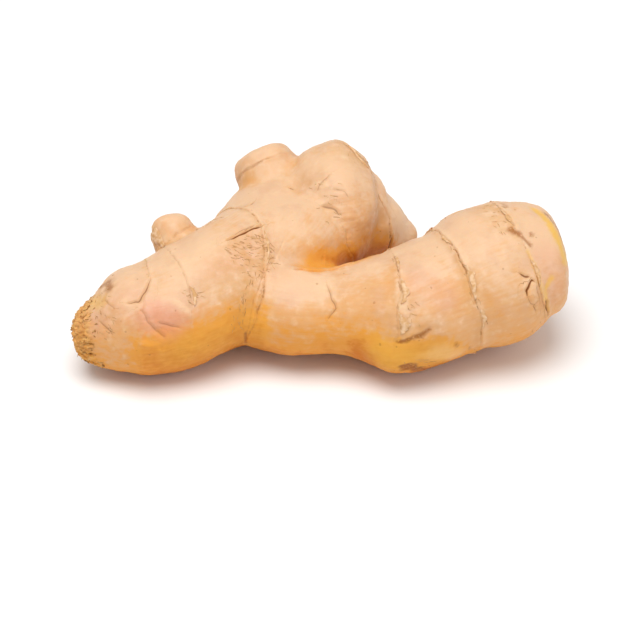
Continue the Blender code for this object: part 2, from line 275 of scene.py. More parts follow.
# Tinted places: tint, finger, half width in mm, strength, and the line they follow.
PATCHES = (
    ("pink", mother, 4.0, 1.0, ((20.4, 40), (23.4, 32))),
    ("pink", mother, 2.6, 0.25, ((26.5, 49), (30.0, 34))),
    ("pink", mother, 5.0, 0.35, ((8.0, 55), (14.0, 62))),
    ("pink", mother, 4.5, 0.35, ((40.0, 62), (50.0, 62))),
    ("pink", front, 4.5, 0.35, ((12.0, 70), (17.0, 62))),
    ("pink", front, 4.0, 0.30, ((53.0, 62), (58.0, 40))),
    ("pink", front, 4.0, 0.40, ((90.5, 38), (91.0, 5))),
    ("pink", mother, 4.5, 0.40, ((98.0, 160), (100.0, 190))),
    ("pink", front, 4.0, 0.35, ((74.0, 150), (78.0, 170))),
    ("brown", mother, 1.5, 0.75, ((11.0, 112), (12.9, 103), (13.0, 88))),
    ("brown", mother, 1.2, 0.6, ((103.3, 98), (105.5, 88), (107.5, 76))),
    ("brown", bud, 1.0, 0.8, ((9.0, 14), (9.8, 4))),
    ("brown", front, 1.5, 0.9, ((83.0, 71), (84.8, 65))),
    ("brown", front, 0.8, 0.8, ((85.0, 64), (87.6, 53))),
    ("brown", front, 0.8, 0.9, ((48.0, 9), (49.7, 13), (51.3, 17))),
    ("brown", front, 0.9, 1.0, ((48.1, -16), (49.2, -30), (50.4, -42))),
    ("brown", front, 0.5, 0.7, ((88.7, 65), (88.7, 62))),
    ("brown", front, 0.7, 0.6, ((57.1, -4), (57.3, -8))),
    ("brown", front, 0.5, 0.5, ((60.6, -19), (60.9, -24))),
    ("brown", front, 0.9, 0.45, ((84.6, 119), (84.9, 104))),
    ("brown", front, 0.4, 0.7, ((94.0, 106), (95.5, 88), (97.2, 66))),
    ("brown", front, 0.35, 0.7, ((9.8, -6), (9.4, -24))),
    ("brown", mother, 0.9, 0.7, ((71.0, 150), (73.5, 156))),
    ("brown", front, 0.8, 0.7, ((67.5, 142), (70.0, 150))),
    ("brown", stem, 0.8, 0.35, ((15.6, 200), (16.2, 160), (16.0, 120))),
    ("yellow", front, 1.7, 0.9, ((91.6, 106), (93.3, 90), (95.2, 68), (96.5, 46), (97.2, 30))),
    ("yellow", front, 1.1, 0.7, ((91.5, 18), (88.9, 12), (88.6, 3), (89.3, -11))),
    ("yellow", front, 1.2, 0.45, ((86.0, 48), (87.2, 30), (87.9, 14))),
    ("yellow", mother, 2.2, 0.45, ((6.0, 95), (9.5, 78))),
    ("yellow", mother, 6.0, 0.25, ((26.0, -8), (42.0, -12))),
    ("yellow", front, 5.0, 0.45, ((45.0, -6), (52.0, -16))),
    ("dirt", mother, 6.0, 0.75, ((42.2, 50), (47.5, 55))),
    ("dirt", mother, 3.2, 0.7, ((44.9, 75), (50.4, 58))),
    ("dirt", front, 2.4, 0.7, ((6.8, 69), (7.4, 51), (8.6, 20))),
    ("dirt", front, 3.4, 0.3, ((48.3, 47), (51.0, 14))),
    ("dirt", front, 3.0, 0.55, ((80.1, 111), (81.7, 75))),
    ("dirt", mother, 3.0, 0.35, ((86.0, 75), (93.0, 70))),
    ("dirt", mother, 3.0, 0.5, ((99.5, 100), (101.0, 84))),
    ("dirt", mother, 3.5, 0.4, ((11.0, 75), (12.5, 60))),
    ("dirt", stem, 2.6, 0.5, ((11.0, 200), (13.0, 160))),
    ("dirt", side, 2.2, 0.4, ((6.5, 200), (8.0, 130))),
    ("pale", front, 2.6, 0.6, ((53.1, -10), (56.2, -22))),
    ("pale", front, 4.5, 0.5, ((16.0, 66), (25.0, 70))),
    ("pale", mother, 1.1, 0.8, ((26.8, 49), (28.3, 37))),
    ("pale", mother, 1.4, 0.6, ((15.0, 62), (17.0, 52))),
    ("pale", mother, 4.5, 0.5, ((36.0, 88), (40.0, 80))),
    ("pale", front, 1.2, 0.6, ((49.0, 66), (48.6, 40))),
    ("pale", mother, 1.3, 0.6, ((95.0, 58), (95.4, 55))),
    # The end bud's pale place: partly paler skin, partly painted light on the side turned to the
    # light.
    ("pale", bud, 4.0, 1.1, ((10.5, 60), (14.0, 44))),
    # Amber places lie under the fingers and in creases: partly the skin's own orange, partly
    # painted shade.
    ("amber", mother, 6.5, 0.35, ((7.0, 12), (17.0, 16))),
    ("amber", mother, 8.5, 1.0, ((22.0, -4), (33.0, -3), (46.0, -12))),
    ("amber", front, 5.0, 0.6, ((6.0, -30), (18.0, -32))),
    ("amber", front, 7.5, 0.5, ((10.0, 8), (20.0, 12), (32.0, 6), (43.0, 12))),
    ("amber", front, 6.5, 1.0, ((40.0, -8), (47.0, -5), (52.0, -16))),
    ("amber", front, 2.4, 0.6, ((19.0, 106), (24.0, 111), (28.0, 118), (34.0, 126), (39.0, 128))),
    ("amber", front, 6.5, 0.35, ((30.0, 62), (38.0, 58), (47.0, 56))),
    ("amber", front, 6.5, 0.25, ((54.0, 42), (62.0, 40))),
    ("amber", front, 7.0, 0.2, ((56.0, 4), (80.0, 2))),
    ("amber", mother, 5.0, 0.8, ((90.0, -12), (97.0, -14), (104.0, -22))),
    ("amber", bud, 4.0, 0.8, ((2.0, -20), (12.0, -16))),
    ("amber", stem, 2.2, 0.3, ((10.0, 172), (11.8, 152))),
)
# The deep crease in the fork, as points in mm, and how far the painted shade along it reaches.
FORK_CREASE = (
    (-1.5, -12.5, 25.5), (1.5, -10.5, 24.0), (4.5, -8.0, 22.0), (9.0, -2.5, 19.0),
    (14.6, 7.5, 14.5), (21.0, 13.0, 9.0),
)
FORK_SHADE, FORK_REACH, FORK_SWAY = 0.53, (9.0, 1.0), 3.5  # share, mm, mm
TINTS = ("pink", "brown", "yellow", "dirt", "pale", "amber")
WOBBLE = 0.45  # mm, how far a drawn line wanders
CREASE_WIDTH, CREASE_DEPTH = 1.8, 0.5  # mm, the crease where two fingers meet


def from_line(finger, line, sway):
    """Signed distance in mm from a line drawn on a finger, and the share of the way along it."""
    middle = math.radians(line[len(line) // 2][1])
    turn = (finger.angle - middle + math.pi) % (2 * math.pi) - math.pi
    u, v = finger.place + sway[0], turn * finger.radius + sway[1]
    best, run = np.full(len(u), 99.0), np.zeros(len(u))
    for number, ((s0, d0), (s1, d1)) in enumerate(zip(line, line[1:])):
        v0 = (math.radians(d0) - middle) * finger.radius
        v1 = (math.radians(d1) - middle) * finger.radius
        du, dv = s1 - s0, v1 - v0
        t = np.clip(((u - s0) * du + (v - v0) * dv) / (du * du + dv * dv), 0.0, 1.0)
        away = np.hypot(u - s0 - t * du, v - v0 - t * dv)
        which = np.where((u - s0) * dv - (v - v0) * du < 0, -1.0, 1.0)
        closer = away < np.abs(best)
        best = np.where(closer, away * which, best)
        run = np.where(closer, (number + t) / (len(line) - 1), run)
    return np.where(finger.own > 0.01, best, 99.0), run


def sway_of(spots):
    return WOBBLE * rough(spots, 2.4, 3.1), WOBBLE * rough(spots, 2.4, 8.7)


TORN_FACE, RING_LINE, CRACK_MARGIN = 5.0, 1.1, 0.7  # mm that the finer mesh takes in


def fine_places(spots):
    """True where the skin needs a finer mesh: rings' lines, cracks and the torn end."""
    for finger in fingers:
        finger.read(spots)
    sway = sway_of(spots)
    needed = (mother.place < TORN_FACE) & (mother.own > 0.5)
    table = np.linspace(-math.pi, math.pi, 361)
    for finger in fingers:
        for number in range(len(finger.rings)):
            places, _ = finger.ring_at(number, table)
            gap = finger.place - np.interp(finger.angle, table, places)
            needed |= (np.abs(gap - 0.2) < RING_LINE) & (finger.own > 0.2)
    for finger, half, _, _, line in CRACKS:
        away, _ = from_line(finger, line, sway)
        needed |= np.abs(away) < half + CRACK_MARGIN
    return needed


def split_finely(mesh, needed):
    """Splits each face that touches a needed spot into four."""
    bm = bmesh.new()
    bm.from_mesh(mesh)
    bm.verts.ensure_lookup_table()
    chosen = set()
    for index in np.flatnonzero(needed):
        for face in bm.verts[index].link_faces:
            chosen.update(face.edges)
    bmesh.ops.subdivide_edges(bm, edges=list(chosen), cuts=1, use_grid_fill=True)
    bm.to_mesh(mesh)
    bm.free()


split_finely(skin.data, fine_places(spots_of(skin.data)))

spots = spots_of(skin.data)
count = len(spots)
for finger in fingers:
    finger.read(spots)
sway = sway_of(spots)

# The rings: a fine groove, then a lip that falls away toward the finger's tip, and faint folds.
LIP_LENGTH, GROOVE_WIDTH, FOLDED = 1.6, 0.35, 2.6  # mm
LIP_SHARE, GROOVE_SHARE = 0.45, 0.40  # of the ring's height
FOLD_HEIGHT, FOLD_TURNS = 0.05, 5.2  # mm, and how closely the folds follow each other
RING_TINTED = (4.6, 3.2)  # mm from a ring's line, where its tints end
ring_gap, ring_power = np.full(count, 9.0), np.zeros(count)
height = np.zeros(count)
table = np.linspace(-math.pi, math.pi, 721)
for finger in fingers:
    for number, (_, _, _, tall, dark, _) in enumerate(finger.rings):
        places, strengths = finger.ring_at(number, table)
        gap = finger.place - np.interp(finger.angle, table, places)
        power = np.interp(finger.angle, table, strengths) * finger.own
        lip = rising(-0.3, 0.4, gap) * np.exp(-np.maximum(gap, 0.0) / LIP_LENGTH)
        groove = np.exp(-(((gap + 0.3) / GROOVE_WIDTH) ** 2))
        folds = np.sin(gap * FOLD_TURNS + 2.0 * np.sin(finger.angle * 3.0))
        folds *= np.exp(-np.abs(gap) / FOLDED)
        height += power * (tall * (LIP_SHARE * lip - GROOVE_SHARE * groove) + FOLD_HEIGHT * folds)
        shown = dark * power * rising(*RING_TINTED, np.abs(gap))
        nearer = np.abs(gap) < np.abs(ring_gap)
        ring_gap = np.where(nearer, gap, ring_gap)
        ring_power = np.where(nearer, shown, ring_power)

# Cracks and welts with their swollen edges, bumps, and tinted places a little sunk or raised.
EDGE_SHARE, EDGE_AWAY, EDGE_WIDTH = 0.25, 0.9, 0.5  # of the crack's depth, and mm
BROAD_PLACE = 2.0  # mm, the half width from which a tinted place fades out softly
BARE_SUNK, SCAR_SUNK, CORK_RAISED = 0.20, 0.15, 0.10  # mm
crack_off, crack_half, crack_dark = np.full(count, 3.0), np.zeros(count), np.zeros(count)
for finger, half, depth, dark, line in CRACKS:
    away, run = from_line(finger, line, sway)
    width = half * np.clip(1.15 - np.abs(2 * run - 1) ** 3, 0.15, 1.0)
    height -= depth * finger.own * np.exp(-((away / (width + 0.18)) ** 2))
    edge = np.exp(-(((np.abs(away) - EDGE_AWAY) / EDGE_WIDTH) ** 2))
    height += EDGE_SHARE * abs(depth) * finger.own * edge
    nearer = np.abs(away) - width < np.abs(crack_off) - crack_half
    crack_off = np.where(nearer, np.clip(away, -3.0, 3.0), crack_off)
    crack_half = np.where(nearer, width, crack_half)
    crack_dark = np.where(nearer, dark * finger.own, crack_dark)
for finger, at, degrees, tall, wide in BUMPS:
    away, _ = from_line(finger, ((at, degrees - 1), (at, degrees + 1)), sway)
    height += tall * np.exp(-((away / wide) ** 2))
shades = {tint: np.zeros(count) for tint in TINTS}
edge_noise = rough(spots, 1.3, 12.1)
for tint, finger, half, strength, line in PATCHES:
    away, _ = from_line(finger, line, sway)
    softness = 1.9 if half > BROAD_PLACE else 1.15
    fill = rising(softness, 0.3, np.abs(away) / half + 0.35 * edge_noise)
    shades[tint] = np.maximum(shades[tint], strength * fill * finger.own)
height -= BARE_SUNK * shades["yellow"] + SCAR_SUNK * shades["brown"]
height += CORK_RAISED * shades["pale"]

# The creases where one finger grows out of another.
meeting = np.zeros(count)
for first, second in ((stem, mother), (side, mother)):
    to_first, to_second = (first.share - 1) * first.radius, (second.share - 1) * second.radius
    meeting = np.maximum(meeting, np.exp(-(to_first**2 + to_second**2) / CREASE_WIDTH**2))
height -= CREASE_DEPTH * meeting

# The torn end: flesh and fibres broken off short, rough across and drawn out lengthwise.
TORN_REACH, TORN_SWAY = (7.0, 3.4), 2.0  # mm along the finger
STRAND_HEIGHT, CRUMB_HEIGHT, TORN_SUNK = 0.9, 0.4, 0.2  # mm
grain = np.zeros((count, 3))
best_own, second_own = np.zeros(count), np.zeros(count)
for finger in fingers:
    turned = finger.own / np.maximum(finger.share, 1.0) ** 3
    leads = turned > best_own
    second_own = np.where(leads, best_own, np.maximum(second_own, turned))
    best_own = np.where(leads, turned, best_own)
    round_x = finger.share * finger.radius * np.cos(finger.angle)
    round_y = finger.share * finger.radius * np.sin(finger.angle)
    own_grain = np.stack([finger.place + 40.0 * finger.seed, round_x, round_y], axis=1)
    grain = np.where(leads[:, None], own_grain, grain)
grain_trust = rising(0.0, 0.25, best_own - second_own)
torn = rising(*TORN_REACH, mother.place + TORN_SWAY * rough(spots, 3.0, 5.5)) * mother.own
strands = rough(grain, 1.0, 2.2, (4.0, 0.85, 0.85))
height += torn * (STRAND_HEIGHT * strands + CRUMB_HEIGHT * rough(spots, 0.8, 9.9) - TORN_SUNK)

# The plain skin: soft dents, ridges along the fingers, wrinkles across, and a fine grain.
DENTS, SMALL_DENTS, RIDGES, WRINKLES = 0.22, 0.10, 0.14, 0.09  # mm high
GRAIN, SOILED_GRAIN = 0.04, 0.08  # mm high

height += DENTS * rough(spots, 6.5, 1.4) + SMALL_DENTS * rough(spots, 2.2, 6.1)
height += RIDGES * grain_trust * rough(grain, 1.0, 4.4, (9.0, 1.3, 1.3)) * (1 - torn)
wrinkled = rising(0.0, 0.5, rough(spots, 8.0, 2.9)) * grain_trust * (1 - torn)
height += WRINKLES * wrinkled * rough(grain, 1.0, 3.3, (0.75, 4.0, 4.0))
height += (GRAIN + SOILED_GRAIN * shades["dirt"]) * rough(spots, 0.9, 7.3)

normals = np.empty(count * 3)
skin.data.vertices.foreach_get("normal", normals)
normals = normals.reshape(-1, 3)
carved = spots + normals * height[:, None]
carved[:, 2] = np.maximum(carved[:, 2], 0.0)
skin.data.vertices.foreach_set("co", (carved * MM).ravel())
skin.data.update()

# How sheltered each place is: the share of the sky that the root itself and the floor hide.
# This is painted shade: the skin is painted deeper and more orange the more sheltered it is.
SKY_RAYS, FAR_FINGER, NEAR_FLOOR = 96, 60.0, 20.0  # rays, mm, mm
FINGER_SHADE, FAR_FLOOR_SHADE = 0.48, 0.35  # how much they add to the painted shade, where the floor close by is 1
SHELTER_DEPTH, AMBER_DEPTH, MEETING_DEPTH, PALE_LIFT = 1.1, 0.55, 0.1, 0.35  # in the painted shade and tone
golden = math.pi * (3 - math.sqrt(5))
rays = []
for step in range(SKY_RAYS):
    up = 1 - (2 * step + 1) / SKY_RAYS
    flat = math.sqrt(1 - up * up)
    rays.append(Vector((flat * math.cos(golden * step), flat * math.sin(golden * step), up)))
solid_tree = BVHTree.FromPolygons(
    [v.co / MM for v in solid.vertices], [tuple(f.vertices) for f in solid.polygons]
)
known = KDTree(len(solid.vertices))
hidden = []
for vertex in solid.vertices:
    start = vertex.co / MM + vertex.normal * 0.3
    blocked = whole = 0.0
    for ray in rays:
        weight = ray.dot(vertex.normal)
        if weight > 0.05:
            whole += weight
            if solid_tree.ray_cast(start, ray, FAR_FINGER)[0]:
                blocked += weight * FINGER_SHADE
            elif ray.z < 0:
                nearness = math.exp(start.z / ray.z / NEAR_FLOOR)
                blocked += weight * (FAR_FLOOR_SHADE + (1 - FAR_FLOOR_SHADE) * nearness)
    known.insert(vertex.co / MM, vertex.index)
    hidden.append(blocked / whole)
known.balance()
sheltered = np.empty(count)
for index, spot in enumerate(spots):
    near = known.find_n(spot, 4)
    shares = [1 / (0.3 + distance) for _, _, distance in near]
    sheltered[index] = sum(share * hidden[k] for share, (_, k, _) in zip(shares, near))
    sheltered[index] /= sum(shares)
to_crease = np.full(count, 99.0)
for start, end in zip(np.array(FORK_CREASE), np.array(FORK_CREASE)[1:]):
    run = np.clip((spots - start) @ (end - start) / ((end - start) @ (end - start)), 0.0, 1.0)
    away = np.linalg.norm(spots - start - run[:, None] * (end - start), axis=1)
    to_crease = np.minimum(to_crease, away)
# Painted shade along the fork's crease, deep orange, laid in with the amber places.
fork_shade = rising(*FORK_REACH, to_crease + FORK_SWAY * rough(spots, 7.0, 0.6))
shades["amber"] = np.maximum(shades["amber"], FORK_SHADE / AMBER_DEPTH * fork_shade)
# Painted shade and tone: deeper for shelter, amber places and finger creases, lighter for pale
# ones.
painted_shade_and_tone = SHELTER_DEPTH * sheltered + AMBER_DEPTH * shades["amber"]
painted_shade_and_tone += MEETING_DEPTH * meeting - PALE_LIFT * shades["pale"]


def note(mesh, name, *columns):
    """Keeps one number or three for each vertex, for the material to read."""
    kind = "FLOAT" if len(columns) == 1 else "FLOAT_VECTOR"
    layer = mesh.attributes.new(name, kind, "POINT")
    values = np.stack(columns, axis=1).astype(np.float32).ravel()
    layer.data.foreach_set("value" if len(columns) == 1 else "vector", values)


note(skin.data, "ring", ring_gap, ring_power, torn)
note(skin.data, "crack", crack_off, crack_half, crack_dark)
note(skin.data, "tints", shades["pink"], shades["brown"], shades["yellow"])
note(skin.data, "stains_and_painted_shade", shades["dirt"], shades["pale"], painted_shade_and_tone)
note(skin.data, "grain", *grain.T)
note(skin.data, "grain_trust", grain_trust)
skin.data.shade_smooth()

# Colours of the skin, as linear red, green and blue.
# Peach, tan, amber and deep amber: the skin lit and in deepening painted shade, and its oranger
# tone.
PALE_PEACH = (0.74, 0.475, 0.285)
TAN_TONE_AND_SHADE = (0.705, 0.37, 0.15)
AMBER_TONE_AND_SHADE = (0.74, 0.305, 0.035)
DEEP_AMBER_SHADE = (0.60, 0.18, 0.006)
ROSY_GREY = (0.62, 0.36, 0.22)
BUD_PINK = (0.68, 0.27, 0.19)
SCAR_BROWN = (0.31, 0.095, 0.010)
BARE_FLESH = (0.80, 0.46, 0.06)
SOIL_STAIN = (0.58, 0.29, 0.085)
PALE_CORK = (0.82, 0.555, 0.335)
RING_SHADE = (0.36, 0.135, 0.025)
CRACK_SHADE = (0.22, 0.065, 0.008)
TORN_TAN = (0.60, 0.265, 0.05)
TORN_STRAW = (0.80, 0.44, 0.14)


def feed(tree, socket, value):
    """Gives a socket a link or a value of its own."""
    if isinstance(value, bpy.types.NodeSocket):
        tree.links.new(value, socket)
    elif isinstance(value, tuple) and socket.type == "RGBA":
        socket.default_value = (*value, 1.0)
    else:
        socket.default_value = value


def reckoned(tree, operation, *values):
    """A Math node's result."""
    node = tree.nodes.new("ShaderNodeMath")
    node.operation = operation
    for socket, value in zip(node.inputs, values):
        feed(tree, socket, value)
    return node.outputs[0]


def times(tree, *values):
    """Some numbers multiplied."""
    result = values[0]
    for value in values[1:]:
        result = reckoned(tree, "MULTIPLY", result, value)
    return result


def added(tree, base, value, share):
    """A share of one number added to another."""
    return reckoned(tree, "MULTIPLY_ADD", value, share, base)


def swung(tree, base, value, share):
    """A number moved up and down by a share of noise that runs from 0 to 1."""
    return added(tree, base, reckoned(tree, "SUBTRACT", value, 0.5), share)


def tinted(tree, share, under, over):
    """One colour laid over another by a share."""
    node = tree.nodes.new("ShaderNodeMix")
    node.data_type = "RGBA"
    feed(tree, node.inputs["Factor"], share)
    feed(tree, node.inputs[6], under)
    feed(tree, node.inputs[7], over)
    return node.outputs[2]


def eased(tree, value, low, high, top=1.0):
    """0 at low and top at high, smooth between."""
    node = tree.nodes.new("ShaderNodeMapRange")
    node.interpolation_type = "SMOOTHSTEP"
    for name, number in (("Value", value), ("From Min", low), ("From Max", high), ("To Max", top)):
        feed(tree, node.inputs[name], number)
    return node.outputs[0]


def mottle(tree, where, scale, detail=2.0, stretch=None):
    """Noise from 0 to 1 at places in mm; scale is features a mm."""
    if stretch:
        wide = tree.nodes.new("ShaderNodeVectorMath")
        wide.operation = "MULTIPLY"
        feed(tree, wide.inputs[0], where)
        wide.inputs[1].default_value = stretch
        where = wide.outputs[0]
    node = tree.nodes.new("ShaderNodeTexNoise")
    feed(tree, node.inputs["Vector"], where)
    node.inputs["Scale"].default_value = scale
    node.inputs["Detail"].default_value = detail
    return node.outputs["Fac"]


def noted(tree, name):
    """What was noted for each vertex, split into its numbers."""
    node = tree.nodes.new("ShaderNodeAttribute")
    node.attribute_name = name
    split = tree.nodes.new("ShaderNodeSeparateXYZ")
    tree.links.new(node.outputs["Vector"], split.inputs[0])
    return node, split.outputs


def places_in_mm(tree):
    where = tree.nodes.new("ShaderNodeTexCoord")
    scaled = tree.nodes.new("ShaderNodeVectorMath")
    scaled.operation = "SCALE"
    tree.links.new(where.outputs["Object"], scaled.inputs[0])
    scaled.inputs["Scale"].default_value = 1 / MM
    return scaled.outputs[0]


skin_finish = bpy.data.materials.new("ginger_skin_finish")
skin_finish.use_nodes = True
tree = skin_finish.node_tree
shader = tree.nodes["Principled BSDF"]
mm = places_in_mm(tree)
_, (gap, power, torn_share) = noted(tree, "ring")
_, (off, half, dark) = noted(tree, "crack")
_, (pink, brown, yellow) = noted(tree, "tints")
_, (soil, pale, shade_and_tone_level) = noted(tree, "stains_and_painted_shade")
grain_node, _ = noted(tree, "grain")
trust_node, _ = noted(tree, "grain_trust")

broad = mottle(tree, mm, 0.07, 3.0)
blotch = mottle(tree, mm, 0.35, 3.0)
speckle = mottle(tree, mm, 1.8, 3.0)
streak = mottle(tree, grain_node.outputs["Vector"], 1.0, 3.0, (0.13, 1.25, 1.25))
streak = swung(tree, 0.5, streak, trust_node.outputs["Fac"])

# Painted shade: the skin goes from peach through tan and amber to deep amber as this level rises.
shade_and_tone_level = swung(tree, shade_and_tone_level, broad, 0.55)
shade_and_tone_level = swung(tree, shade_and_tone_level, blotch, 0.42)
shade_and_tone_level = swung(tree, shade_and_tone_level, streak, 0.30)
colour = tinted(tree, eased(tree, shade_and_tone_level, 0.0, 0.34), PALE_PEACH, TAN_TONE_AND_SHADE)
rosy = eased(tree, mottle(tree, mm, 0.13, 4.0), 0.48, 0.68, 0.36)
colour = tinted(tree, rosy, colour, ROSY_GREY)
colour = tinted(tree, eased(tree, blotch, 0.45, 0.25, 0.30), colour, PALE_CORK)
colour = tinted(tree, eased(tree, shade_and_tone_level, 0.30, 0.64, 0.93), colour, AMBER_TONE_AND_SHADE)
colour = tinted(tree, eased(tree, shade_and_tone_level, 0.62, 1.05), colour, DEEP_AMBER_SHADE)
colour = tinted(tree, times(tree, pink, 0.55), colour, BUD_PINK)
colour = tinted(tree, times(tree, pale, 0.7), colour, PALE_CORK)
colour = tinted(tree, times(tree, yellow, 0.9), colour, BARE_FLESH)
soil_patchy = times(tree, soil, eased(tree, blotch, 0.25, 0.60), 0.55)
colour = tinted(tree, soil_patchy, colour, SOIL_STAIN)
colour = tinted(tree, times(tree, torn_share, 0.75), colour, TORN_TAN)
torn_dark = eased(tree, mottle(tree, mm, 0.9, 4.0), 0.52, 0.68, 0.6)
colour = tinted(tree, times(tree, torn_share, torn_dark), colour, SCAR_BROWN)
torn_pale = eased(tree, streak, 0.52, 0.40, 0.7)
colour = tinted(tree, times(tree, torn_share, torn_pale), colour, TORN_STRAW)
brown_patchy = times(tree, brown, eased(tree, speckle, 0.22, 0.46), 0.95)
colour = tinted(tree, brown_patchy, colour, SCAR_BROWN)

# The ring's line: a tan band before it, a dark broken line in the groove, a pale lip after,
# partly the lip's own colour and partly a painted highlight, left out of the painted shade.
band = times(tree, eased(tree, gap, -3.4, -0.5), eased(tree, gap, 0.4, -0.1))
band = times(tree, band, times(tree, power, eased(tree, blotch, 0.25, 0.6, 0.5)))
colour = tinted(tree, band, colour, SOIL_STAIN)
pale_lip_and_highlight = times(tree, eased(tree, gap, 0.0, 0.5), eased(tree, gap, 2.4, 0.9))
pale_lip_and_highlight = times(tree, pale_lip_and_highlight, times(tree, power, eased(tree, shade_and_tone_level, 0.6, 0.25, 0.42)))
colour = tinted(tree, pale_lip_and_highlight, colour, PALE_CORK)
line = reckoned(tree, "ABSOLUTE", reckoned(tree, "ADD", gap, 0.22))
line_width = eased(tree, mottle(tree, mm, 0.6, 3.0), 0.42, 0.70, 0.34)
line = eased(tree, reckoned(tree, "SUBTRACT", line, line_width), 0.12, -0.16)
colour = tinted(tree, times(tree, line, power), colour, RING_SHADE)

# The cracks: a brown stain along the edges and a dark fill.
crack_depth = reckoned(tree, "SUBTRACT", reckoned(tree, "ABSOLUTE", off), half)
crack_fill = times(tree, eased(tree, crack_depth, 0.12, -0.14), dark)
crack_edge = times(tree, eased(tree, crack_depth, 0.8, 0.1, 0.35), dark)
colour = tinted(tree, crack_edge, colour, SOIL_STAIN)
colour = tinted(tree, crack_fill, colour, CRACK_SHADE)

# The pores: small brown pits, one to about 3 mm of skin, most of them too small to show.
pores = tree.nodes.new("ShaderNodeTexVoronoi")
tree.links.new(mm, pores.inputs["Vector"])
pores.inputs["Scale"].default_value = 0.34
pore_size = eased(tree, mottle(tree, mm, 0.5, 1.0), 0.50, 0.75, 0.16)
pore = reckoned(tree, "SUBTRACT", pores.outputs["Distance"], pore_size)
pore = eased(tree, pore, 0.03, -0.03, 0.35)
colour = tinted(tree, pore, colour, SCAR_BROWN)

feed(tree, shader.inputs["Base Color"], colour)
dullness = added(tree, 0.38, streak, 0.22)
dullness = added(tree, dullness, soil, 0.25)
dullness = added(tree, dullness, torn_share, 0.30)
feed(tree, shader.inputs["Roughness"], dullness)
shader.inputs["Specular IOR Level"].default_value = 0.27
shader.inputs["Subsurface Weight"].default_value = 0.16
shader.inputs["Subsurface Radius"].default_value = (1.0, 0.42, 0.18)
shader.inputs["Subsurface Scale"].default_value = 3.5 * MM
relief = added(tree, times(tree, streak, 0.8), speckle, 0.35)
relief = added(tree, relief, mottle(tree, mm, 5.0, 2.0), 0.16)
relief = added(tree, relief, pore, -0.25)
bump = tree.nodes.new("ShaderNodeBump")
bump.inputs["Strength"].default_value = 0.75
bump.inputs["Distance"].default_value = 0.16 * MM
feed(tree, bump.inputs["Height"], relief)
tree.links.new(bump.outputs["Normal"], shader.inputs["Normal"])
skin.data.materials.clear()
skin.data.materials.append(skin_finish)

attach(skin, "root")
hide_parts("ginger_root")

# The leaf remnants

# Dry papery remnants of the scale leaves that once sat on each ring, pale, thin and ragged.
# Closed strips: one edge is sunk in the skin along a ring, the other is torn and stands off.

# Finger, ring, width in mm (below zero: toward the finger's root), how far the torn edge stands
# off in mm, and from how many degrees to how many it runs.
LEAF_REMNANTS = (
    (mother, 2, 1.0, 0.30, 40, 58), (mother, 3, 0.8, 0.20, 44, 72), (mother, 4, 0.8, 0.25, 84, 106),
    (front, 2, 1.4, 0.30, 80, 101), (front, 2, 1.6, 0.35, 46, 70), (front, 2, 1.1, 0.30, 18, 38),
    (front, 3, -1.1, 0.30, 84, 100), (front, 3, 2.6, 0.40, 30, 60), (front, 3, 1.3, 0.30, 2, 22),
    (front, 4, -1.3, 0.30, 76, 100), (front, 4, 1.1, 0.25, 20, 44),
    (mother, 1, 1.2, 0.35, 140, 170), (mother, 2, 1.4, 0.40, 128, 158),
    (mother, 3, 1.3, 0.40, -100, -60), (front, 2, 1.3, 0.35, 128, 150),
    (front, 3, 1.6, 0.40, 130, 165), (front, 4, 1.3, 0.40, 134, 168),
    (front, 3, 1.4, 0.40, -70, -40),
)
LEAF_ROWS, LEAF_STEP = 5, 0.45  # strips across, and mm between points along
LEAF_THICK = (0.16, 0.06)  # mm, at the sunk edge and at the torn edge
LEAF_ROOTED = 0.15  # mm that the sunk edge lies under the skin
LEAF_PALE = (0.78, 0.52, 0.31)
LEAF_TAN = (0.62, 0.34, 0.14)

skin_tree = BVHTree.FromObject(skin, bpy.context.evaluated_depsgraph_get())


def on_skin(finger, at, degrees):
    """The skin's point in mm, its outward direction and the finger's radius at a place."""
    k = int(np.clip(round(at / (finger.s[1] - finger.s[0])), 0, len(finger.s) - 1))
    start = finger.points[k] + (at - finger.s[k]) * finger.along[k]
    angle = math.radians(degrees)
    way = ACROSS * math.cos(angle) * finger.across[k]
    way = way + UPRIGHT * math.sin(angle) * finger.upright[k]
    point, outward, _, _ = skin_tree.ray_cast(Vector(start) * MM, Vector(way))
    return point / MM, outward, finger.radii[k]


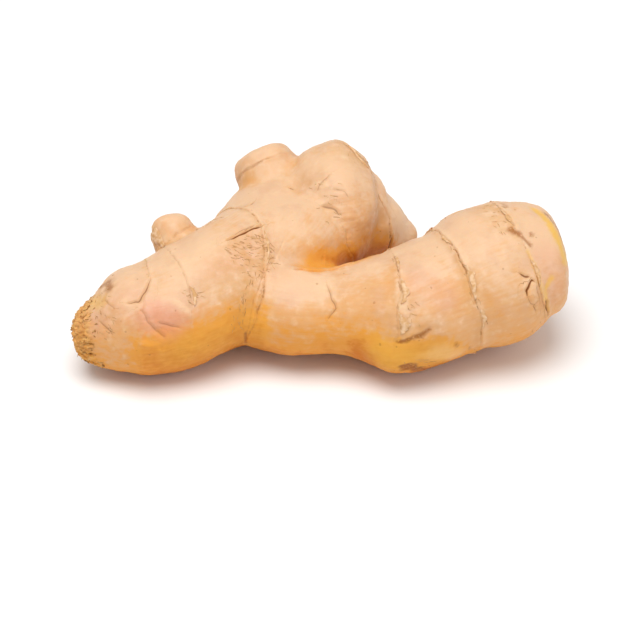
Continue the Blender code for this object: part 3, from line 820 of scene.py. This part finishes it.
def add_leaf(bm, finger, ring, width, lift, first, last):
    """Adds one ragged strip along a ring."""
    _, _, radius = on_skin(finger, finger.rings[ring][0], first)
    columns = max(6, int(math.radians(last - first) * radius / LEAF_STEP))
    turns = np.linspace(first, last, columns)
    places, _ = finger.ring_at(ring, np.radians(turns))
    top, under = [], []
    for number, (at, degrees) in enumerate(zip(places, turns)):
        share = number / (columns - 1)
        ragged = noise.noise((0.33 * number, 3.1 * ring + finger.seed, 0.7 * first))
        reach = width * (0.1 + math.sin(math.pi * share) ** 0.7) * (0.8 + 0.6 * ragged)
        lifted = lift * (0.6 + noise.noise((0.21 * number, 0.7 * first, finger.seed)))
        top_row, under_row = [], []
        for row in range(LEAF_ROWS):
            out = row / (LEAF_ROWS - 1)
            point, outward, _ = on_skin(finger, at + out * reach, degrees)
            rise = -LEAF_ROOTED if row == 0 else 0.03 + max(lifted, 0.05) * out**1.6
            thick = LEAF_THICK[0] + (LEAF_THICK[1] - LEAF_THICK[0]) * out
            under_row.append(bm.verts.new((point + outward * rise) * MM))
            top_row.append(bm.verts.new((point + outward * (rise + thick)) * MM))
        top.append(top_row)
        under.append(under_row)
    for a, b, c, d in zip(top, top[1:], under, under[1:]):
        for row in range(LEAF_ROWS - 1):
            bm.faces.new((a[row], a[row + 1], b[row + 1], b[row]))
            bm.faces.new((c[row], d[row], d[row + 1], c[row + 1]))
        bm.faces.new((a[0], b[0], d[0], c[0]))
        bm.faces.new((a[-1], c[-1], d[-1], b[-1]))
    for a, c in ((top[0], under[0]), (top[-1], under[-1])):
        for row in range(LEAF_ROWS - 1):
            bm.faces.new((a[row], c[row], c[row + 1], a[row + 1]))


def finished(name, bm, material):
    """The object made of what was added, smooth, with its material."""
    bmesh.ops.recalc_face_normals(bm, faces=bm.faces)
    mesh = bpy.data.meshes.new(name)
    bm.to_mesh(mesh)
    bm.free()
    mesh.shade_smooth()
    mesh.materials.append(material)
    obj = bpy.data.objects.new(name, mesh)
    bpy.context.scene.collection.objects.link(obj)
    return obj


bm = bmesh.new()
for remnant in LEAF_REMNANTS:
    add_leaf(bm, *remnant)
leaf_finish = bpy.data.materials.new("dry_leaf_finish")
leaf_finish.use_nodes = True
tree = leaf_finish.node_tree
shader = tree.nodes["Principled BSDF"]
mm = places_in_mm(tree)
leaf_shade = eased(tree, mottle(tree, mm, 0.8, 3.0), 0.35, 0.65)
leaf_colour = tinted(tree, leaf_shade, LEAF_PALE, LEAF_TAN)
feed(tree, shader.inputs["Base Color"], leaf_colour)
feed(tree, shader.inputs["Roughness"], added(tree, 0.5, leaf_shade, 0.2))
shader.inputs["Specular IOR Level"].default_value = 0.3
bump = tree.nodes.new("ShaderNodeBump")
bump.inputs["Distance"].default_value = 0.1 * MM
feed(tree, bump.inputs["Height"], mottle(tree, mm, 3.0, 2.0))
tree.links.new(bump.outputs["Normal"], shader.inputs["Normal"])
leaves = finished("leaf_remnants", bm, leaf_finish)

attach(leaves, "root")

# The dark fibres

# Short dead root hairs and leaf fibres, dark brown, lying on the skin beside rings and scars.
# Thin tapering rods bent along the skin, with their thick end sunk in it.

# Finger, from and to along in mm, from and to in degrees, how many, and which way they point in
# degrees from the finger's tip.
FIBRE_PLACES = (
    (mother, 43.0, 51.5, 40, 78, 84, -62), (mother, 50.5, 53.2, 52, 76, 30, -75),
    (front, 6.0, 8.8, 0, 70, 34, -80), (mother, 7.0, 13.0, 20, 100, 34, -60),
    (mother, 29.0, 33.0, 42, 58, 16, -60), (front, 65.4, 68.0, 0, 100, 20, -90),
    (front, 47.8, 51.0, 15, 100, 20, -90), (front, 79.0, 84.5, 72, 115, 22, -60),
    (mother, 101.0, 105.0, 80, 105, 12, -90), (mother, 93.0, 98.0, 30, 64, 12, -50),
    (front, 46.0, 51.0, -40, -10, 14, -60), (mother, 5.0, 14.0, 110, 250, 40, -60),
    (mother, 44.0, 56.0, 120, 175, 26, -60), (front, 60.0, 72.0, 130, 170, 18, -80),
    (front, 80.0, 88.0, -60, -20, 12, -80),
)
FIBRE_LENGTH, FIBRE_THICK = (0.6, 1.7), (0.08, 0.14)  # mm
FIBRE_LIFT, FIBRE_ROOTED = (0.03, 0.3), 0.04  # mm above the skin at its end, and under it
FIBRE_STRAY, FIBRE_BEND = 20, 0.5  # degrees, radians
FIBRE_STEPS, FIBRE_SIDES = 5, 5
FIBRE_BROWN = (0.40, 0.20, 0.065)
FIBRE_TAN = (0.60, 0.35, 0.14)


def add_strand(bm, path, thick):
    """Adds a closed rod that tapers along a path in mm."""
    loops = []
    for number, point in enumerate(path):
        ahead = path[min(number + 1, len(path) - 1)] - path[max(number - 1, 0)]
        sideways = ahead.cross(Vector((0.31, 0.22, 0.92))).normalized()
        upward = sideways.cross(ahead).normalized()
        half = thick * (1 - 0.8 * number / (len(path) - 1))
        turns = [2 * math.pi * k / FIBRE_SIDES for k in range(FIBRE_SIDES)]
        ways = [math.cos(turn) * sideways + math.sin(turn) * upward for turn in turns]
        loops.append([bm.verts.new((point + half * way) * MM) for way in ways])
    for near, far in zip(loops, loops[1:]):
        for k in range(FIBRE_SIDES):
            after = (k + 1) % FIBRE_SIDES
            bm.faces.new((near[k], near[after], far[after], far[k]))
    bm.faces.new(loops[0][::-1])
    bm.faces.new(loops[-1])


def lying_path(finger, at, degrees, heading, length, lift, bend):
    """A path in mm that runs along the skin and lifts off it toward its end."""
    path = []
    for step in range(FIBRE_STEPS + 1):
        share = step / FIBRE_STEPS
        point, outward, radius = on_skin(finger, at, degrees)
        path.append(point + outward * (lift * share**1.5 - FIBRE_ROOTED))
        at += math.cos(heading + bend * share) * length / FIBRE_STEPS
        degrees += math.degrees(math.sin(heading + bend * share) * length / FIBRE_STEPS / radius)
    return path


chance = random.Random(41)
bm = bmesh.new()
for finger, s0, s1, d0, d1, how_many, pointing in FIBRE_PLACES:
    for _ in range(how_many):
        path = lying_path(
            finger, chance.uniform(s0, s1), chance.uniform(d0, d1),
            math.radians(pointing + chance.gauss(0, FIBRE_STRAY)), chance.uniform(*FIBRE_LENGTH),
            chance.uniform(*FIBRE_LIFT), chance.uniform(-FIBRE_BEND, FIBRE_BEND),
        )
        add_strand(bm, path, chance.uniform(*FIBRE_THICK))
fibre_finish = bpy.data.materials.new("dark_fibre_finish")
fibre_finish.use_nodes = True
tree = fibre_finish.node_tree
shader = tree.nodes["Principled BSDF"]
mm = places_in_mm(tree)
fibre_shade = eased(tree, mottle(tree, mm, 0.7, 2.0), 0.35, 0.65)
feed(tree, shader.inputs["Base Color"], tinted(tree, fibre_shade, FIBRE_BROWN, FIBRE_TAN))
feed(tree, shader.inputs["Roughness"], added(tree, 0.6, fibre_shade, 0.15))
shader.inputs["Specular IOR Level"].default_value = 0.25
fibres = finished("dark_fibres", bm, fibre_finish)

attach(fibres, "root")

# The torn slivers

# Frayed strings of flesh and skin where the finger was broken off, straw pale and brown.
# Short tapering rods that stick out of the torn end's face and lie back over its rim.

FACE_SLIVERS, RIM_SLIVERS = 90, 110
SLIVER_LENGTH, SLIVER_THICK = (0.5, 1.5), (0.14, 0.34)  # mm
RIM_PLACE, RIM_TURN, RIM_LIFT = (1.5, 7.0), (-60, 240), (0.05, 0.5)  # mm, degrees, mm
CLEAR_OF_FACE, SAG = 6.0, 0.25  # mm
SLIVER_STRAW = (0.74, 0.45, 0.16)
SLIVER_BROWN = (0.34, 0.15, 0.035)

chance = random.Random(77)
bm = bmesh.new()
for _ in range(FACE_SLIVERS):
    turn = chance.uniform(0, 2 * math.pi)
    away = mother.radii[0] * math.sqrt(chance.uniform(0.02, 0.95))
    out = math.cos(turn) * mother.across[0] + math.sin(turn) * mother.upright[0]
    start = mother.points[0] - CLEAR_OF_FACE * mother.along[0] + away * out
    point, outward, _, _ = skin_tree.ray_cast(Vector(start) * MM, Vector(mother.along[0]))
    if point is None:
        continue
    way = outward * 0.6 + Vector([chance.gauss(0, 0.5) for _ in range(3)])
    way = way.normalized() * chance.uniform(*SLIVER_LENGTH) * 0.7
    sag = Vector((0.0, 0.0, -SAG))
    path = [point / MM + way * (k / 4 - 0.15) + sag * (k / 4) ** 2 for k in range(5)]
    add_strand(bm, path, chance.uniform(*SLIVER_THICK))
for _ in range(RIM_SLIVERS):
    heading = math.radians(chance.choice((180, 180, 0)) + chance.gauss(0, 35))
    path = lying_path(
        mother, chance.uniform(*RIM_PLACE), chance.uniform(*RIM_TURN), heading,
        chance.uniform(*SLIVER_LENGTH), chance.uniform(*RIM_LIFT), chance.uniform(-0.8, 0.8),
    )
    add_strand(bm, path, chance.uniform(*SLIVER_THICK))
sliver_finish = bpy.data.materials.new("torn_sliver_finish")
sliver_finish.use_nodes = True
tree = sliver_finish.node_tree
shader = tree.nodes["Principled BSDF"]
mm = places_in_mm(tree)
sliver_shade = eased(tree, mottle(tree, mm, 0.55, 3.0), 0.38, 0.56)
feed(tree, shader.inputs["Base Color"], tinted(tree, sliver_shade, SLIVER_STRAW, SLIVER_BROWN))
feed(tree, shader.inputs["Roughness"], added(tree, 0.6, sliver_shade, 0.15))
shader.inputs["Specular IOR Level"].default_value = 0.25
slivers = finished("torn_slivers", bm, sliver_finish)

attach(slivers, "root")

# The floor, light and camera

# A plain white studio floor, a pale surround, one large soft light above, to the left and in
# front, and a weak one low at the right. The camera looks down at the root from the front.

FLOOR_HALF, FLOOR_GAP = 2.5, 0.05 * MM  # m, half its width, and how far it lies under the root
FLOOR_PALE, FLOOR_WHITE = (0.90, 0.89, 0.885), (0.93, 0.925, 0.92)
SURROUND = 0.50  # strength of the white surround
LENS, SENSOR_WIDTH = 119.8, 36.0  # mm
CAMERA_AIM = Vector((-0.3, -17.0, 8.0)) * MM
CAMERA_UP_ANGLE, CAMERA_AWAY = math.radians(37.0), 620.0 * MM

floor_mesh = bpy.data.meshes.new("studio_floor")
bm = bmesh.new()
bmesh.ops.create_grid(bm, x_segments=8, y_segments=8, size=FLOOR_HALF)
bm.to_mesh(floor_mesh)
bm.free()
floor = bpy.data.objects.new("studio_floor", floor_mesh)
floor.location.z = -FLOOR_GAP
bpy.context.scene.collection.objects.link(floor)
floor_finish = bpy.data.materials.new("white_floor")
floor_finish.use_nodes = True
tree = floor_finish.node_tree
shader = tree.nodes["Principled BSDF"]
shade = mottle(tree, places_in_mm(tree), 0.01, 2.0)
feed(tree, shader.inputs["Base Color"], tinted(tree, shade, FLOOR_PALE, FLOOR_WHITE))
shader.inputs["Roughness"].default_value = 0.75
shader.inputs["Specular IOR Level"].default_value = 0.2
floor_mesh.materials.append(floor_finish)

world = bpy.data.worlds.new("pale_surround")
world.use_nodes = True
surround = world.node_tree.nodes["Background"]
surround.inputs["Color"].default_value = (1.0, 1.0, 1.0, 1.0)
surround.inputs["Strength"].default_value = SURROUND
bpy.context.scene.world = world


def soft_light(name, power, size, place, aim):
    """A round soft box of some watts and metres across, turned toward a point."""
    lamp = bpy.data.lights.new(name, "AREA")
    lamp.shape = "DISK"
    lamp.energy = power
    lamp.size = size
    holder = bpy.data.objects.new(name, lamp)
    holder.location = place
    holder.rotation_euler = (Vector(aim) - Vector(place)).to_track_quat("-Z", "Y").to_euler()
    bpy.context.scene.collection.objects.link(holder)


soft_light("soft_box_above", 8.2, 0.80, (-0.12, -0.16, 0.96), (0.0, 0.0, 0.0))
soft_light("soft_box_right", 0.9, 0.60, (0.62, -0.30, 0.34), (0.0, 0.0, 0.02))

camera_data = bpy.data.cameras.new("camera")
camera_data.lens = LENS
camera_data.sensor_width = SENSOR_WIDTH
camera_data.clip_start = 0.01
camera = bpy.data.objects.new("camera", camera_data)
toward_camera = Vector((0.0, -math.cos(CAMERA_UP_ANGLE), math.sin(CAMERA_UP_ANGLE)))
camera.location = CAMERA_AIM + CAMERA_AWAY * toward_camera
camera.rotation_euler = (math.radians(90.0) - CAMERA_UP_ANGLE, 0.0, 0.0)
bpy.context.scene.collection.objects.link(camera)
bpy.context.scene.camera = camera
bpy.context.scene.view_settings.view_transform = "Standard"
